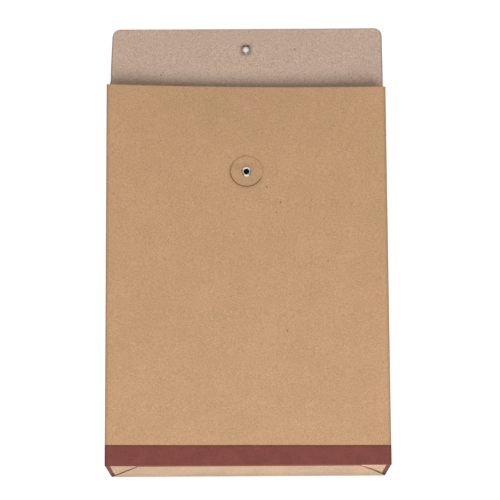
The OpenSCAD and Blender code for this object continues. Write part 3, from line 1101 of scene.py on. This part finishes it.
def eyelet_profile(axes, node):
    """Profile of an eyelet: rolled flange, barrel and curled end."""
    low, high = span(node, axes)
    bore, barrel, lip = 2.5 * MM, 2.78 * MM, 0.24 * MM
    flange = high.x
    under = high.z - 0.45 * MM
    profile = arc((bore + lip, high.z - lip), lip, 180, 90, 4)
    profile += arc((flange - 0.55 * MM, under + 0.05 * MM), 0.42 * MM, 75, 0, 5)
    profile += [(flange - 0.1 * MM, under), (barrel, under), (barrel, low.z + 0.45 * MM)]
    profile += arc((3.3 * MM, low.z + 0.42 * MM), 0.5 * MM, 60, -90, 6)
    profile += [(bore + 0.1 * MM, low.z + 0.15 * MM), (bore, low.z + 0.4 * MM)]
    return profile


class ENVELOPE_OT_closure(bpy.types.Operator):
    """Models the two crimped eyelets and the paper discs that turn on them"""

    bl_idname = "envelope.closure"
    bl_label = "Eyelets and discs"

    def execute(self, context):
        sizes = context.scene.envelope_sizes
        front_axes = FRONT @ Matrix.Translation((0, FRONT_EYELET.y, FRONT_HIGH.z))
        flap_axes = FLAP @ Matrix.Rotation(math.pi, 4, "Y")
        for panel, axes in (("front", front_axes), ("flap", flap_axes)):
            self.eyelet(panel, axes, sizes)
            self.disc(panel, axes, sizes)
        return {"FINISHED"}

    @staticmethod
    def eyelet(panel, axes, sizes):
        """A nickel eyelet with its end split into petals."""
        node = f"{panel}_eyelet"
        low = span(node, axes)[0]
        split_from = low.z + 0.43 * MM

        def petal(co):
            radius = math.hypot(co.x, co.y)
            angle = math.atan2(co.y, co.x)
            if co.z > split_from or radius < 2.55 * MM:
                # Painted shade on the flange's outer band, along its lower left and right sides
                aside = max(0.0, abs(math.cos(angle)) - 0.25 * math.sin(angle) - 0.55) / 0.45
                outer = smooth((radius - 2.8 * MM) / (0.9 * MM)) if co.z > split_from else 0.0
                return co, 0.95 * smooth(1.3 * aside) * outer
            # The crimped end is darker all over, with painted shade in the petals' notches and on its upper
            # side
            notch = max(0.0, math.cos(sizes.petals * (angle - math.pi / 2))) ** 3
            share = 1 - (0.22 + 0.06 * math.sin(angle)) * notch * (radius - 2.6 * MM) / (1.1 * MM)
            dark = 0.55 + 0.45 * smooth(1.5 * max(0.0, math.sin(angle)) - 0.3) + 0.3 * notch
            return Vector((co.x * share, co.y * share, co.z + 0.25 * MM * notch)), min(1.0, dark)

        piece = lathe(
            f"{panel}_nickel_eyelet", "nickel plate", eyelet_profile(axes, node), axes, 72, petal)
        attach(piece, panel)
        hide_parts(node)

    @staticmethod
    def disc(panel, axes, sizes):
        """A paper disc with eased edges. The front one curls up at its lower edge."""
        node = f"{panel}_disc"
        low, high = span(node, axes)
        radius = high.x
        width = radius - DISC_BORE
        curl_by = sizes.disc_lift if panel == "front" else 0.0
        press_by = DISC_PRESS * (high.z - low.z)
        profile = [(DISC_BORE, low.z), (DISC_BORE, high.z)]
        profile += [(DISC_BORE + width * share, high.z) for share in DISC_RINGS]
        profile += arc((radius - DISC_EASE, high.z - DISC_EASE), DISC_EASE, 90, 0, 3)
        profile += arc((radius - DISC_EASE, low.z + DISC_EASE), DISC_EASE, 0, -90, 3)
        profile += [(DISC_BORE + width * share, low.z) for share in DISC_UNDER_RINGS]

        def curl(co):
            reach = math.hypot(co.x, co.y) / radius
            lower = max(0.0, -co.y / radius)
            upper = max(0.0, co.y / radius)
            lift = curl_by * (0.85 * lower ** 2 + 0.15 * reach ** 3)
            press = press_by * smooth(1.4 * upper) * max(0.0, co.z - low.z) / (high.z - low.z)
            # Painted shade on the rim's outer band: darkest along the lower and left edge, little at the top
            shaded = smooth(2.2 * lower - 0.2 * upper + 0.1 - 0.4 * co.x / radius)
            rim = shaded if reach > DISC_RIM else 0.0
            flatter = 0.05 * smooth(2 * upper) + 0.07 * smooth(2 * lower)
            return Vector((co.x, co.y * (1 - flatter), co.z + lift - press)), rim

        piece = lathe(f"{panel}_paper_disc", "kraft board", profile, axes, 96, curl)
        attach(piece, node)
        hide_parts(node)


# Stage

TABLE_HALF = 3
TABLE_TOP = -0.3 * MM
GAP_DEPTH = 3 * MM
KEY_SIZE = (2.0, 1.6)
KEY_PLACE = (0.25, -1.4, 1.3)
SENSOR_WIDTH = 36


def grey(level):
    """A grey of a level from black to white."""
    return (level, level, level, 1)


def floor_finish():
    """White table: white to the eye, with the object's shadow, and painted shade in narrow gaps."""
    finish = Finish(bpy.data.materials.new("white table"))
    # Ambient occlusion dims the glow: painted shade in narrow gaps, such as under the flap's eyelet
    open_sky = finish.node("AmbientOcclusion", {"Distance": GAP_DEPTH}, "AO", samples=8)
    bounce = finish.node("BsdfDiffuse", {"Color": grey(0.8)})
    shadow = finish.node("BsdfDiffuse", {"Color": grey(0.35)})
    light = finish.mix(open_sky, grey(0), grey(1))
    glow = finish.node("Emission", {"Color": light, "Strength": 0.84})
    white = finish.node("AddShader", {0: shadow, 1: glow})
    return finish.surface(finish.node("MixShader", {0: finish.seen(), 1: bounce, 2: white}))


def sky_finish(strength):
    """Even light all round, white where the eye sees it."""
    finish = Finish(bpy.data.worlds.new("even sky"))
    light = finish.node("Background", {"Color": grey(1), "Strength": strength})
    white = finish.node("Background", {"Color": grey(1), "Strength": 1.0})
    both = finish.node("MixShader", {0: finish.seen(), 1: light, 2: white})
    return finish.surface(both, "OutputWorld")


class ENVELOPE_OT_stage(bpy.types.Operator):
    """Makes the white table, the soft light and the camera above it"""

    bl_idname = "envelope.stage"
    bl_label = "Stage"

    def execute(self, context):
        scene = context.scene
        settings = scene.envelope_stage
        scene.view_settings.view_transform = "Standard"
        bm = bmesh.new()
        bmesh.ops.create_grid(bm, x_segments=1, y_segments=1, size=TABLE_HALF)
        bmesh.ops.translate(bm, vec=(0, 0, TABLE_TOP), verts=bm.verts[:])
        table = add_mesh(bm, "table")
        table.data.materials.append(floor_finish())

        scene.world = sky_finish(settings.sky)

        key = bpy.data.lights.new("soft key", "AREA")
        key.shape = "RECTANGLE"
        key.size, key.size_y = KEY_SIZE
        key.energy = settings.key_power
        lamp = add_object("soft key", key)
        lamp.location = KEY_PLACE
        lamp.rotation_euler = (-Vector(KEY_PLACE)).to_track_quat("-Z", "Y").to_euler()

        lens = bpy.data.cameras.new("overhead")
        lens.lens = settings.lens
        lens.sensor_width = SENSOR_WIDTH
        lens.clip_start = 0.01
        camera = add_object("overhead", lens)
        camera.location = (*settings.camera_foot, settings.camera_height)
        camera.rotation_euler = (0, 0, settings.camera_roll)
        scene.camera = camera
        return {"FINISHED"}


# Sidebar and registration

OPERATORS = (
    ENVELOPE_OT_stage,
    ENVELOPE_OT_back_sheet,
    ENVELOPE_OT_front_sheet,
    ENVELOPE_OT_base_board,
    ENVELOPE_OT_gussets,
    ENVELOPE_OT_cloth_tape,
    ENVELOPE_OT_closure,
)
GROUPS = {
    "envelope_sizes": EnvelopeSizes,
    "envelope_colours": EnvelopeColours,
    "envelope_stage": EnvelopeStage,
}


class VIEW3D_PT_envelope(bpy.types.Panel):
    """Buttons and settings of the envelope"""

    bl_label = "Expanding Envelope"
    bl_space_type = "VIEW_3D"
    bl_region_type = "UI"
    bl_category = "Envelope"

    def draw(self, context):
        for operator in OPERATORS:
            self.layout.operator(operator.bl_idname)
        for group, kind in GROUPS.items():
            box = self.layout.box()
            for name in kind.__annotations__:
                box.prop(getattr(context.scene, group), name)


CLASSES = (*GROUPS.values(), *OPERATORS, VIEW3D_PT_envelope)


def register():
    """Adds the settings, the operators and the panel to Blender."""
    for cls in CLASSES:
        bpy.utils.register_class(cls)
    for group, kind in GROUPS.items():
        setattr(bpy.types.Scene, group, PointerProperty(type=kind))


def unregister():
    """Takes them out again."""
    for group in GROUPS:
        delattr(bpy.types.Scene, group)
    for cls in reversed(CLASSES):
        bpy.utils.unregister_class(cls)


def main():
    """Builds the whole scene."""
    register()
    for operator in OPERATORS:
        category, name = operator.bl_idname.split(".")
        getattr(getattr(bpy.ops, category), name)()


if __name__ == "__main__":
    main()
